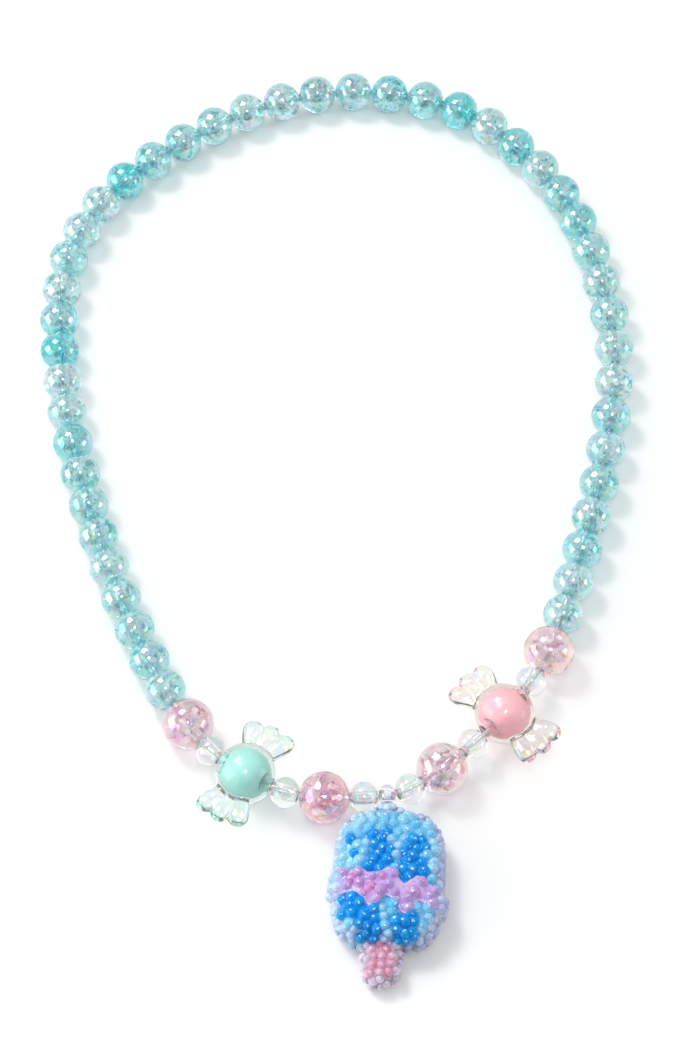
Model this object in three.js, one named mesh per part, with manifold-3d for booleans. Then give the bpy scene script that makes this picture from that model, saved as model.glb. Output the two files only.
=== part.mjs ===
// A child's necklace of plastic beads on a closed elastic cord, laid out in its loop on a table.
// Millimetres, +Z up. The origin lies on the table, under the middle of the whole necklace.
import * as THREE from 'three';
import { mergeVertices } from 'three/addons/utils/BufferGeometryUtils.js';
import Module from 'manifold-3d';

const wasm = await Module();
wasm.setup();

// Each kind of threaded piece: its size across the cord and along it, and the bore for the cord.
// sides and bands are the facets round the bore and from end to end, both chosen so that one
// facet faces straight down.
const kinds = {
  aqua: { across: 8, length: 7.6, bore: 1.6, sides: 10, bands: 5 },
  pink: { across: 10, length: 9.6, bore: 1.8, sides: 12, bands: 5 },
  clear: { across: 6, length: 5.2, bore: 2, sides: 10, bands: 5 },
  candy: { across: 12, length: 11.4, bore: 2.8, sides: 14, bands: 5 },
  bail: { across: 4.2, length: 3.5, bore: 1.7, sides: 10, bands: 3 },
};

// What is threaded, clockwise from the lower left of the loop.
const threaded = [
  ...Array(45).fill('aqua'),
  'pink', 'clear', 'candy', 'clear', 'pink', 'clear', 'bail',
  'clear', 'pink', 'clear', 'candy', 'clear', 'pink',
];

// The way the cord lies on the table, seen from above, starting at the first aqua bead.
const route = [
  [-32.9, -45.4], [-42, -24.4], [-49.2, -2.4], [-54.5, 20.5], [-57, 44], [-55.6, 60], [-49.4, 74.2],
  [-38.6, 86], [-18.5, 99.2], [3.7, 104.6], [26, 99.5], [38, 89.6], [47.4, 76.4], [53.2, 61],
  [57, 36], [54.2, 10.8], [48.6, -13.4], [41, -38], [31.7, -52.6], [19.8, -63.6], [15.1, -67.1],
  [10, -68.9], [-1.5, -69.5], [-9, -68.8], [-16.5, -65.2], [-23.4, -60], [-28.1, -53.6],
];
const cordDiameter = 0.8;
const cordSides = 6;
const cordSteps = 1.5 * threaded.length;

// Where the pieces sit looser on the cord: over how many of them, and how many times the rest
const looseSpots = [
  { piece: 17, spread: 6, times: 1.6 },
  { piece: 36, spread: 5, times: 6 },
  { piece: 45.5, spread: 2.5, times: 5 },
  { piece: 57, spread: 1.5, times: 3 },
];
// The last aqua beads are lifted a little by their bigger neighbours.
const lift = [0.5, 0.15];
const bailHeight = 4.8;

// Candy bead: three rounded lobes fan out on each side, like a twisted wrapper.
const lobe = { length: 6.8, across: 4, thick: 2.6, root: 4.9, fan: 20.5 };
const lobeSides = 8;

// Lolly pendant, measured over its small beads. Lengths run down from the bail.
const lolly = {
  width: 19.9, length: 27.2, thick: 8.6, square: 3.8,
  fromBail: 17.9, aside: 0.2, lean: 3,
};
const stick = { width: 6.8, length: 12, thick: 5, square: 3, fromBody: 15, aside: -0.6 };
const stem = { across: 2.3, length: 5 };
const bodySegments = 24;
const stickSegments = 16;
const drip = { rise: 1.5, reach: 13 };
const seed = { across: 2.1, vary: 0.2, sunk: 0.1, sides: 5 };
const bodySeedRings = [
  { at: 1, height: 0.5, count: 32 },
  { at: 0.86, height: 0.9, count: 22 },
  { at: 0.6, height: 0.97, count: 14 },
  { at: 0.36, height: 0.99, count: 8 },
  { at: 0.12, height: 1, count: 3 },
];
const stickSeedRings = [
  { at: 1, height: 0.42, count: 13 },
  { at: 0.5, height: 0.95, count: 5 },
];

// Finishes
const plastic = (color, roughness = 0.08) =>
  new THREE.MeshStandardMaterial({ color, roughness, metalness: 0 });
const aquaAcrylic = plastic(0x9fdce0);
const pinkAcrylic = plastic(0xecb6c6);
const clearAcrylic = plastic(0xe9eef0);
const turquoiseCore = plastic(0x9fe3d2);
const pinkCore = plastic(0xf6b3c4);
const lollyResin = plastic(0x49b2ea, 0.15);
const elasticFilm = plastic(0xf0f3f4, 0.3);

// A repeatable draw from 0 to 1
let drawState = 7;
function draw() {
  drawState = (drawState * 16807) % 2147483647;
  return drawState / 2147483647;
}

function solidOf(geometry) {
  const bare = geometry.clone();
  bare.deleteAttribute('normal');
  bare.deleteAttribute('uv');
  const merged = mergeVertices(bare, 1e-4);
  return new wasm.Manifold(new wasm.Mesh({
    numProp: 3,
    vertProperties: merged.attributes.position.array,
    triVerts: new Uint32Array(merged.index.array),
  }));
}

function geometryOf(solid) {
  const mesh = solid.getMesh();
  const geometry = new THREE.BufferGeometry();
  geometry.setAttribute('position', new THREE.BufferAttribute(mesh.vertProperties, 3));
  geometry.setIndex(new THREE.BufferAttribute(mesh.triVerts, 1));
  geometry.computeVertexNormals();
  return geometry;
}

// A bored round bead, its bore along Y, with its facets outside the true round, so that it
// rests at its true radius
function beadGeometry({ across, length, bore, sides, bands }) {
  const endAngle = Math.acos(bore / across);
  const bandAngle = (2 * endAngle) / bands;
  const outside = 1 / Math.cos(Math.PI / sides);
  const profile = Array.from({ length: bands + 1 }, (_, i) => {
    const angle = -endAngle + i * bandAngle;
    const isEnd = i === 0 || i === bands;
    const radius = isEnd ? bore / 2 : ((across / 2) * Math.cos(angle)) / Math.cos(bandAngle / 2);
    return new THREE.Vector2(radius * outside, ((length / 2) * Math.sin(angle)) / Math.sin(endAngle));
  });
  profile.push(profile[0].clone());
  return new THREE.LatheGeometry(profile, sides, Math.PI / sides);
}

// One drop-shaped lobe, from its root at the origin out along X, flatter than it is wide
function lobeGeometry() {
  const half = lobe.across / 2;
  const profile = [
    [0, 0], [0.62, 0.04], [0.85, 0.4], [1, 0.7], [0.74, 0.92], [0, 1],
  ].map(([r, y]) => new THREE.Vector2(r * half, y * lobe.length));
  return new THREE.LatheGeometry(profile, lobeSides, Math.PI / lobeSides)
    .rotateZ(-Math.PI / 2)
    .scale(1, 1, lobe.thick / lobe.across);
}

// The ball with its two fans, all one moulding, bored along Y
function candyGeometry() {
  const boreSides = 10;
  let solid = solidOf(beadGeometry(kinds.candy));
  for (const side of [0, Math.PI]) {
    for (const place of [-1, 0, 1]) {
      const leaf = lobeGeometry()
        .translate(lobe.root, 0, 0)
        .rotateZ(side + THREE.MathUtils.degToRad(place * lobe.fan));
      solid = solid.add(solidOf(leaf));
    }
  }
  const bore = new THREE.CylinderGeometry(
    kinds.candy.bore / 2, kinds.candy.bore / 2, 2 * kinds.candy.across, boreSides,
  );
  return geometryOf(solid.subtract(solidOf(bore)));
}

// A flat-backed cushion with a rounded-rectangle outline, its back on the plane z = 0
const cushionProfile = [
  [0, 0], [0.84, 0], [0.96, 0.14], [1, 0.42], [0.97, 0.7], [0.84, 0.9], [0.5, 0.98], [0, 1],
];

function outlineReach(angle, square) {
  const c = Math.abs(Math.cos(angle)) ** square;
  const s = Math.abs(Math.sin(angle)) ** square;
  return (c + s) ** (-1 / square);
}

function cushionPoint({ width, length, thick, square }, angle, at, height) {
  const reach = outlineReach(angle, square) * at;
  return new THREE.Vector3(
    (width / 2) * reach * Math.cos(angle),
    (length / 2) * reach * Math.sin(angle),
    thick * height,
  );
}

function cushionGeometry(size, segments) {
  const profile = cushionProfile.map(([r, y]) => new THREE.Vector2(r, y));
  const geometry = new THREE.LatheGeometry(profile, segments);
  const position = geometry.attributes.position;
  for (let i = 0; i < position.count; i++) {
    const x = position.getX(i);
    const z = position.getZ(i);
    const point = cushionPoint(size, Math.atan2(-z, x), Math.hypot(x, z), position.getY(i));
    position.setXYZ(i, point.x, point.y, point.z);
  }
  return geometry;
}

// Small round beads in rings over a cushion, each half sunk into it, with a pole facing out
function seedsOn(size, rings, centre) {
  const middle = new THREE.Vector3(centre.x, centre.y, size.thick / 2);
  return rings.flatMap(({ at, height, count }) =>
    Array.from({ length: count }, (_, i) => {
      const angle = ((i + 0.5 + 0.4 * (draw() - 0.5)) / count) * 2 * Math.PI;
      const radius = (seed.across + seed.vary * (2 * draw() - 1)) / 2;
      const place = cushionPoint(size, angle, at, height).add(centre);
      const outward = place.clone().sub(middle).normalize();
      const turn = new THREE.Quaternion().setFromUnitVectors(new THREE.Vector3(0, 1, 0), outward);
      return new THREE.SphereGeometry(radius, seed.sides, 3)
        .applyQuaternion(turn)
        .translate(...place.addScaledVector(outward, -seed.sunk));
    }));
}

// The raised band across the body: a smooth wavy upper edge and three drips below, measured
// from the middle of the body
function dripShape() {
  const { reach } = drip;
  const upper = [
    [-reach, -0.4], [-9.4, 0.5], [-7.3, -0.7], [-5.7, 0.1], [-3.2, -1.1], [-0.2, 0.2], [1.4, -0.8],
    [2.9, -2.9], [5.5, -1.2], [7.6, -2.7], [reach, -3.6],
  ];
  const lower = [
    [reach, -5.4], [10.6, -6.4], [9, -8.2], [6.4, -6.4], [5.2, -7], [3.4, -9.1], [1.6, -6.9],
    [0, -5.6], [-1.2, -6.2], [-3, -8], [-4.8, -5.8], [-6.6, -5.1], [-reach, -5.4],
  ];
  const smooth = (points, count) =>
    new THREE.SplineCurve(points.map(([x, y]) => new THREE.Vector2(x, y))).getPoints(count);
  return new THREE.Shape([...smooth(upper, 20), ...smooth(lower, 24)]);
}

function grown(size, by) {
  return {
    ...size, width: size.width + 2 * by, length: size.length + 2 * by, thick: size.thick + by,
  };
}

// The lolly with its bail over the origin, hanging down -Y with its back on z = 0. The bail is
// bored the way the cord runs there.
function lollyGeometry(cordAngle) {
  const centre = new THREE.Vector3();
  const stickCentre = new THREE.Vector3(stick.aside, -stick.fromBody, 0);
  const place = (geometry) => geometry
    .rotateZ(THREE.MathUtils.degToRad(-lolly.lean))
    .translate(lolly.aside, -lolly.fromBail, 0);

  const body = solidOf(place(cushionGeometry(lolly, bodySegments)));
  const wave = new THREE.ExtrudeGeometry(dripShape(), { depth: 2 * lolly.thick, bevelEnabled: false })
    .translate(0, 0, -lolly.thick / 2);
  const band = solidOf(place(wave))
    .intersect(solidOf(place(cushionGeometry(grown(lolly, drip.rise), bodySegments))));
  const handle = place(cushionGeometry(stick, stickSegments).translate(...stickCentre));
  let solid = body.add(band).add(solidOf(handle));
  for (const bead of seedsOn(lolly, bodySeedRings, centre)) solid = solid.add(solidOf(place(bead)));
  for (const bead of seedsOn(stick, stickSeedRings, stickCentre)) {
    solid = solid.add(solidOf(place(bead)));
  }

  const { across, bore, length, sides } = kinds.bail;
  const ball = new THREE.SphereGeometry(across / 2, sides, 6)
    .scale(length / across, 1, 1)
    .rotateZ(cordAngle)
    .translate(0, 0, bailHeight);
  const rod = new THREE.CylinderGeometry(stem.across / 2, stem.across / 2, stem.length, 8)
    .translate(0, -stem.length / 2, bailHeight);
  const hole = new THREE.CylinderGeometry(bore / 2, bore / 2, 2 * across, sides)
    .rotateZ(Math.PI / 2 + cordAngle)
    .translate(0, 0, bailHeight);
  return geometryOf(solid.add(solidOf(ball)).add(solidOf(rod)).subtract(solidOf(hole)));
}

// Where each threaded piece sits along the cord. The slack is shared out between the pieces,
// most of it at the loose spots.
function placesAlongCord() {
  const plan = new THREE.CatmullRomCurve3(
    route.map(([x, y]) => new THREE.Vector3(x, y, 0)), true, 'centripetal',
  );
  plan.arcLengthDivisions = 1000;
  const whole = plan.getLength();
  const taken = threaded.reduce((sum, name) => sum + kinds[name].length, 0);
  const weights = threaded.map((_, i) =>
    looseSpots.reduce(
      (sum, { piece, spread, times }) => sum + times * Math.exp(-(((i - piece) / spread) ** 2)), 1,
    ));
  const perWeight = (whole - taken) / weights.reduce((sum, weight) => sum + weight, 0);

  let along = 0;
  return threaded.map((name, i) => {
    if (i > 0) {
      along += (kinds[threaded[i - 1]].length + kinds[name].length) / 2 + perWeight * weights[i - 1];
    }
    const place = plan.getPointAt(along / whole);
    place.z = restHeight(i);
    return place;
  });
}

// How far a piece is lifted off its own rest height: only the last aqua beads are
function liftAt(i) {
  if (threaded[i] !== 'aqua') return 0;
  return lift[Math.min(i, threaded.lastIndexOf('aqua') - i)] ?? 0;
}

// How high the cord runs through a piece: the round beads rest on the table, and the clear
// beads and the bail hang on the cord between them.
function restHeight(i) {
  if (threaded[i] === 'bail') return bailHeight;
  if (threaded[i] === 'clear') return (restHeight(i - 1) + restHeight(i + 1)) / 2;
  return kinds[threaded[i]].across / 2 + liftAt(i);
}

function isOnTable(i) {
  return threaded[i] !== 'clear' && liftAt(i) === 0;
}

// A turn that lays Y along the cord and keeps Z as near upright as it goes
function turnAlong(direction) {
  const y = direction.clone().normalize();
  const x = new THREE.Vector3().crossVectors(y, new THREE.Vector3(0, 0, 1)).normalize();
  const z = new THREE.Vector3().crossVectors(x, y);
  return new THREE.Quaternion().setFromRotationMatrix(new THREE.Matrix4().makeBasis(x, y, z));
}

function named(name, geometry, material) {
  const mesh = new THREE.Mesh(geometry, material);
  mesh.name = name;
  return mesh;
}

const necklace = new THREE.Group();
const places = placesAlongCord();
const cord = new THREE.CatmullRomCurve3(places, true, 'centripetal');
necklace.add(named(
  'elastic_cord', new THREE.TubeGeometry(cord, cordSteps, cordDiameter / 2, cordSides, true), elasticFilm,
));

// The candy beads lie turned a little on the cord, in degrees
const candies = [
  { name: 'candy_bead_pink', material: pinkCore, turned: -6 },
  { name: 'candy_bead_turquoise', material: turquoiseCore, turned: 4 },
];
const shared = {
  aqua: { geometry: beadGeometry(kinds.aqua), material: aquaAcrylic },
  pink: { geometry: beadGeometry(kinds.pink), material: pinkAcrylic },
  clear: { geometry: beadGeometry(kinds.clear), material: clearAcrylic },
};
const candy = candyGeometry();
const count = { aqua: 0, pink: 0, clear: 0, candy: 0 };

threaded.forEach((kind, i) => {
  const before = places.at(i - 1);
  const after = places[(i + 1) % places.length];
  const direction = after.clone().sub(before);
  if (isOnTable(i)) direction.z = 0;
  if (kind === 'bail') {
    const cordAngle = Math.atan2(-direction.y, -direction.x);
    const lollyPendant = named('lolly_pendant', lollyGeometry(cordAngle), lollyResin);
    lollyPendant.position.set(places[i].x, places[i].y, 0);
    necklace.add(lollyPendant);
    return;
  }
  const bead = kind === 'candy'
    ? named(candies[count.candy].name, candy, candies[count.candy].material)
    : named(
      `${kind}_bead_${String(count[kind] + 1).padStart(2, '0')}`, shared[kind].geometry, shared[kind].material,
    );
  bead.position.copy(places[i]);
  bead.quaternion.copy(turnAlong(direction));
  if (kind === 'candy') bead.rotateZ(THREE.MathUtils.degToRad(candies[count.candy].turned));
  count[kind] += 1;
  necklace.add(bead);
});

// The origin goes under the middle of the whole
const box = new THREE.Box3().setFromObject(necklace, true);
const middle = box.getCenter(new THREE.Vector3());
necklace.position.set(-middle.x, -middle.y, 0);

export default necklace;
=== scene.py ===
import math
import random
import bmesh
import bpy
from mathutils import Euler, Matrix, Vector
from mathutils.kdtree import KDTree


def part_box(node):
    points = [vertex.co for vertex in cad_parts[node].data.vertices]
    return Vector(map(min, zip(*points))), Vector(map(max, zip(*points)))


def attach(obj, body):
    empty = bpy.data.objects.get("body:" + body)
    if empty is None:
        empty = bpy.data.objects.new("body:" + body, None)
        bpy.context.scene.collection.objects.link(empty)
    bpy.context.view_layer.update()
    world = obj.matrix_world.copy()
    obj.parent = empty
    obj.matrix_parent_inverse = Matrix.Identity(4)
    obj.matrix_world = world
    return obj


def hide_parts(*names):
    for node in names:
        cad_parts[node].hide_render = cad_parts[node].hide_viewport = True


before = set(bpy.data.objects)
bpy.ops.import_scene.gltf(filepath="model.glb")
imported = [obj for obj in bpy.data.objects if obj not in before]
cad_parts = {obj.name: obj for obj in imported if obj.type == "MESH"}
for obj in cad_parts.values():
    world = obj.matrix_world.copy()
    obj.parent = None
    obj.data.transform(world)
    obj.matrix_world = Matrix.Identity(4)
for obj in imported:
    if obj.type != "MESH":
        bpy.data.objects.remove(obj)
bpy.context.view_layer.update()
mm = 0.001
nearAxis = 0.0001 * mm  # a lathe's profile stops just short of the axis


# small helpers, used by every piece

def hexColor(text):
    # sRGB hex to the linear values that the shader works in
    parts = [int(text[i:i + 2], 16) / 255 for i in (1, 3, 5)]
    linear = [c / 12.92 if c <= 0.04045 else ((c + 0.055) / 1.055) ** 2.4 for c in parts]
    return (*linear, 1.0)


def addNode(tree, kind, settings=None, links=None):
    # settings: attributes of the node, or plain values for its sockets; links: socket -> output
    node = tree.nodes.new(kind)
    for key, value in (settings or {}).items():
        if isinstance(key, int) or key in node.inputs.keys():
            node.inputs[key].default_value = value
        else:
            setattr(node, key, value)
    for key, output in (links or {}).items():
        tree.links.new(output, node.inputs[key])
    return node


def newMaterial(name):
    material = bpy.data.materials.new(name)
    material.use_nodes = True
    tree = material.node_tree
    tree.nodes.clear()
    return material, tree


def newObject(name, mesh, materials=()):
    obj = bpy.data.objects.new(name, mesh)
    bpy.context.scene.collection.objects.link(obj)
    for material in materials:
        mesh.materials.append(material)
    return obj


def meshFrom(name, verts, faces):
    mesh = bpy.data.meshes.new(name)
    mesh.from_pydata([tuple(v) for v in verts], [], faces)
    mesh.update()
    return mesh


def smooth(mesh):
    mesh.shade_smooth()
    return mesh


def plainMesh(obj, name):
    # what the modifiers make of an object, as a plain mesh
    graph = bpy.context.evaluated_depsgraph_get()
    mesh = bpy.data.meshes.new_from_object(obj.evaluated_get(graph), depsgraph=graph)
    mesh.name = name
    return mesh


def discard(*objects):
    for obj in objects:
        bpy.data.objects.remove(obj, do_unlink=True)


def newTree(name, sockets):
    # a node tree that takes and gives geometry; sockets: label, kind and value of its other inputs
    tree = bpy.data.node_groups.new(name, "GeometryNodeTree")
    tree.interface.new_socket("Geometry", in_out="INPUT", socket_type="NodeSocketGeometry")
    for label, kind, value in sockets:
        socket = tree.interface.new_socket(label, in_out="INPUT", socket_type="NodeSocket" + kind)
        socket.default_value = value
    tree.interface.new_socket("Geometry", in_out="OUTPUT", socket_type="NodeSocketGeometry")
    return tree, addNode(tree, "NodeGroupInput")


def endTree(tree, geometry, material):
    # the export drops instances, so they become real faces before the material goes on
    real = addNode(tree, "GeometryNodeRealizeInstances", None, {0: geometry})
    coated = addNode(tree, "GeometryNodeSetMaterial", {"Material": material}, {"Geometry": real.outputs[0]})
    addNode(tree, "NodeGroupOutput", None, {"Geometry": coated.outputs[0]})


def setInput(modifier, tree, label, value):
    for item in tree.interface.items_tree:
        if item.item_type == "SOCKET" and item.in_out == "INPUT" and item.name == label:
            modifier[item.identifier] = value


def runTree(holder, tree, name, values=()):
    # what a tree makes of an object, as a plain mesh, after which the object goes
    modifier = holder.modifiers.new("nodes", "NODES")
    modifier.node_group = tree
    for label, value in values:
        setInput(modifier, tree, label, value)
    mesh = plainMesh(holder, name)
    discard(holder)
    return mesh


def surface(tree, shader):
    addNode(tree, "ShaderNodeOutputMaterial", None, {"Surface": shader.outputs[0]})


def lathe(name, profile, sides):
    # turns a closed profile of (radius, y) round the Y axis; the profile runs so that faces point out
    verts, faces = [], []
    count = len(profile)
    for i in range(sides):
        angle = 2 * math.pi * i / sides
        for radius, y in profile:
            verts.append((radius * math.cos(angle), y, radius * math.sin(angle)))
    for i in range(sides):
        a, b = i * count, (i + 1) % sides * count
        for j in range(count):
            k = (j + 1) % count
            faces.append((a + j, a + k, b + k, b + j))
    mesh = meshFrom(name, verts, faces)
    recalc(mesh)
    return smooth(mesh)


def rodMesh(name, radius, low, high, sides):
    # a closed rod along the Y axis
    return lathe(name, [(nearAxis, low), (radius, low), (radius, high), (nearAxis, high)], sides)


def recalc(mesh):
    work = bmesh.new()
    work.from_mesh(mesh)
    bmesh.ops.recalc_face_normals(work, faces=work.faces)
    work.to_mesh(mesh)
    work.free()


# camera, lights and floor
camera = {
    "lens": 134.9, "sensor": 36.0,          # mm, the sensor's height
    "target": (2.81 * mm, -4.21 * mm, 0.0),
    "distance": 0.787, "elevation": 56.5,   # metres, degrees
    "clip": (0.01, 20),
}
lights = {
    # name: direction from the necklace, distance, size, colour, watts
    "keySoftbox": dict(toward=(-0.43, 0.38, 0.82), far=1.25, size=(0.50, 0.50), color="#fffdfa", watts=5.2),
    "keyLamp": dict(toward=(-0.43, 0.38, 0.82), far=1.24, size=(0.17, 0.17), color="#ffffff", watts=2.2),
    "sideSoftbox": dict(toward=(-0.95, -0.15, 0.26), far=1.1, size=(0.95, 0.60), color="#fbfdff", watts=3.9),
    "rightSoftbox": dict(toward=(0.95, -0.20, 0.22), far=1.2, size=(0.50, 0.40), color="#fffaf6", watts=1.4),
    "smallLamp": dict(toward=(0.04, -0.44, 0.895), far=1.1, size=(0.16, 0.16), color="#ffffff", watts=1.8),
}
# a bright room, darker on the side where the photographer stands
world = {
    "color": "#f8fafb", "zenith": 0.63, "horizon": 0.80,
    "front": 0.25, "frontWay": (0, -0.93, 0.37), "frontFrom": 0.86, "frontTo": 0.96,
}
floor = {"color": "#f3f3f3", "size": 6.0}


def makeCamera():
    data = bpy.data.cameras.new("camera")
    data.sensor_fit = "VERTICAL"
    data.sensor_height = camera["sensor"]
    data.lens = camera["lens"]
    data.clip_start, data.clip_end = camera["clip"]
    view = newObject("camera", data)
    target = Vector(camera["target"])
    rise = math.radians(camera["elevation"])
    view.location = target + camera["distance"] * Vector((0, -math.cos(rise), math.sin(rise)))
    view.rotation_euler = (math.pi / 2 - rise, 0, 0)
    bpy.context.scene.camera = view


def makeLights():
    for name, light in lights.items():
        data = bpy.data.lights.new(name, "AREA")
        data.shape = "RECTANGLE"
        data.size, data.size_y = light["size"]
        data.energy = light["watts"]
        data.color = hexColor(light["color"])[:3]
        lamp = newObject(name, data)
        toward = Vector(light["toward"]).normalized()
        lamp.location = toward * light["far"]
        lamp.rotation_euler = toward.to_track_quat("Z", "Y").to_euler()


def makeRoom():
    room = bpy.data.worlds.new("studio")
    bpy.context.scene.world = room
    room.use_nodes = True
    tree = room.node_tree
    background = tree.nodes["Background"]
    background.inputs["Color"].default_value = hexColor(world["color"])
    way = addNode(tree, "ShaderNodeTexCoord").outputs["Generated"]
    height = addNode(tree, "ShaderNodeSeparateXYZ", None, {0: way})
    rise = addNode(tree, "ShaderNodeMapRange", {"To Min": world["horizon"], "To Max": world["zenith"]},
                   {"Value": height.outputs["Z"]})
    near = addNode(tree, "ShaderNodeVectorMath", {"operation": "DOT_PRODUCT", 1: world["frontWay"]}, {0: way})
    dim = addNode(tree, "ShaderNodeMapRange", {
        "interpolation_type": "SMOOTHSTEP", "From Min": world["frontFrom"], "From Max": world["frontTo"],
        "To Min": 1.0, "To Max": world["front"],
    }, {"Value": near.outputs["Value"]})
    strength = addNode(tree, "ShaderNodeMath", {"operation": "MULTIPLY"},
                       {0: rise.outputs[0], 1: dim.outputs[0]})
    tree.links.new(strength.outputs[0], background.inputs["Strength"])


def makeFloor():
    material, tree = newMaterial("paperSweep")  # matt white paper
    surface(tree, addNode(tree, "ShaderNodeBsdfPrincipled", {
        "Base Color": hexColor(floor["color"]), "Roughness": 0.9, "Specular IOR Level": 0.1,
    }))
    half = floor["size"] / 2
    corners = [(-half, -half, 0), (half, -half, 0), (half, half, 0), (-half, half, 0)]
    ground = newObject("floor", meshFrom("floor", corners, [(0, 1, 2, 3)]), [material])


def makeStage():
    makeCamera()
    makeLights()
    makeRoom()
    makeFloor()
    bpy.context.scene.view_settings.view_transform = "Standard"
    print("stage: camera, lights and floor")


# the threaded pieces in their order round the cord
threadOrder = [f"aqua_bead_{i:02d}" for i in range(1, 46)] + [
    "pink_bead_01", "clear_bead_01", "candy_bead_pink", "clear_bead_02", "pink_bead_02", "clear_bead_03",
    "lolly_pendant", "clear_bead_04", "pink_bead_03", "clear_bead_05", "candy_bead_turquoise",
    "clear_bead_06", "pink_bead_04",
]
# these hang a little above the table beside the larger beads, as the clear ones do
hangingBeads = ["aqua_bead_01", "aqua_bead_02", "aqua_bead_44", "aqua_bead_45"]
bail = {"height": 4.8 * mm, "across": 4.2 * mm, "length": 3.5 * mm, "bore": 1.7 * mm, "boreReach": 4 * mm}


def middleOf(name):
    low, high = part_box(name)
    return (Vector(low) + Vector(high)) / 2


def findPlaces():
    places = {name: middleOf(name) for name in threadOrder if name != "lolly_pendant"}
    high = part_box("lolly_pendant")[1]
    acrossBail = (places["clear_bead_03"].x + places["clear_bead_04"].x) / 2
    places["lolly_pendant"] = Vector((acrossBail, high[1] - bail["across"] / 2, bail["height"]))
    ways = {}
    for i, name in enumerate(threadOrder):
        before = places[threadOrder[i - 1]]
        after = places[threadOrder[(i + 1) % len(threadOrder)]]
        way = after - before
        if not name.startswith("clear") and name not in hangingBeads:
            way.z = 0  # a bead that rests on the table lies level
        ways[name] = way.normalized()
    return places, ways


def turnAlong(way):
    y = way.normalized()
    x = y.cross(Vector((0, 0, 1))).normalized()
    return Matrix((x, y, x.cross(y))).transposed()


# the round beads; spin: the seed of their random turn round the cord
beadSizes = {
    "aqua": dict(across=8.0 * mm, length=7.6 * mm, bore=1.6 * mm, sides=40, bands=22, spin=3),
    "pink": dict(across=10.0 * mm, length=9.6 * mm, bore=1.8 * mm, sides=48, bands=26, spin=8),
    "clear": dict(across=6.0 * mm, length=5.2 * mm, bore=2.0 * mm, sides=40, bands=20, spin=13),
}
boreEdge = 0.12 * mm
# how deep the tint is, from 0 to 1; an aqua bead without a value is drawn between the two of drawn
beadShades = {
    "aqua": {1: 0.1, 9: 0.6, 12: 0.85, 13: 0.5, 18: 1.0, 19: 0.4, 20: 0.3, 21: 0.2, 22: 0.1, 26: 0.5, 28: 0.9,
             30: 0.6, 33: 0.5, 44: 0.1, 45: 0.1},
    "pink": {"pink_bead_01": 0.3, "pink_bead_02": 0.2, "pink_bead_03": 0.8, "pink_bead_04": 0.35},
    "drawn": (0.0, 0.45), "rest": 0.5, "seed": 21,
}


def beadProfile(size):
    # the round of the bead, then a softened edge and the straight bore
    half, hole = size["across"] / 2, size["bore"] / 2
    endAngle = math.acos(hole / half)
    tall = size["length"] / 2 / math.sin(endAngle)
    outer = []
    for i in range(size["bands"] + 1):
        angle = -endAngle + 2 * endAngle * i / size["bands"]
        outer.append((half * math.cos(angle), tall * math.sin(angle)))
    slope = boreEdge * 0.05
    outer[0] = (hole + boreEdge, outer[0][1] + slope)
    outer[-1] = (hole + boreEdge, outer[-1][1] - slope)
    top = outer[-1][1] - boreEdge
    inner = [(hole, top), (hole, top / 2), (hole, 0), (hole, -top / 2), (hole, -top)]
    return outer + inner


def beadTree(name, bead, material):
    # sets one bead on every point, its bore along the point's way, and spins it round the bore
    tree, given = newTree(name, (("Bead Size", "Float", 1.0), ("Spin Seed", "Int", 3)))
    points = addNode(tree, "GeometryNodeMeshToPoints", None, {"Mesh": given.outputs["Geometry"]})
    way = addNode(tree, "GeometryNodeInputNamedAttribute", {"data_type": "FLOAT_VECTOR", "Name": "way"})
    along = addNode(tree, "FunctionNodeAlignRotationToVector", {"axis": "Y"},
                    {"Vector": way.outputs["Attribute"]})
    angle = addNode(tree, "FunctionNodeRandomValue", {"data_type": "FLOAT", 3: 2 * math.pi},
                    {"Seed": given.outputs["Spin Seed"]})
    spin = addNode(tree, "FunctionNodeAxisAngleToRotation", {"Axis": (0, 1, 0)}, {"Angle": angle.outputs[1]})
    turn = addNode(tree, "FunctionNodeRotateRotation", {"rotation_space": "LOCAL"},
                   {"Rotation": along.outputs[0], "Rotate By": spin.outputs[0]})
    one = addNode(tree, "GeometryNodeObjectInfo", {"Object": bead})
    spread = addNode(tree, "GeometryNodeInstanceOnPoints", None, {
        "Points": points.outputs["Points"], "Instance": one.outputs["Geometry"],
        "Rotation": turn.outputs[0], "Scale": given.outputs["Bead Size"],
    })
    endTree(tree, spread.outputs[0], material)
    return tree


def pointsWithWays(name, names, places, ways, shades):
    mesh = meshFrom(name, [places[n] for n in names], [])
    mesh.attributes.new("way", "FLOAT_VECTOR", "POINT")
    mesh.attributes.new("shade", "FLOAT", "POINT")
    for i, n in enumerate(names):
        mesh.attributes["way"].data[i].vector = ways[n]
        mesh.attributes["shade"].data[i].value = shades[n]
    return newObject(name, mesh)


def strungBeads(pieceName, kind, one, material, places, ways, shades, seed):
    # one plain mesh of all the beads of a kind
    names = [n for n in threadOrder if n.startswith(kind + "_bead")]
    holder = pointsWithWays(pieceName + "Points", names, places, ways, shades)
    tree = beadTree(pieceName + "Tree", one, material)
    return newObject(pieceName, runTree(holder, tree, pieceName, [("Spin Seed", seed)])), names


# fractures inside a crackled bead: thin bent shards with an uneven outline
crackle = {
    "aqua": dict(flakes=70, smallest=0.5 * mm, largest=1.7 * mm, reach=0.62, clear=0.95 * mm, seed=5),
    "pink": dict(flakes=60, smallest=0.7 * mm, largest=2.4 * mm, reach=0.52, clear=1.1 * mm, seed=9),
    "thick": 0.05 * mm, "corners": 7,
    "empty": 0.3,                      # share of the reach that has none, round the middle
    "nearBore": 0.4, "inside": 0.95,   # how far a shard stays off the bore and within the bead's length
    "bend": 0.35, "ragged": 0.55,
}


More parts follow.
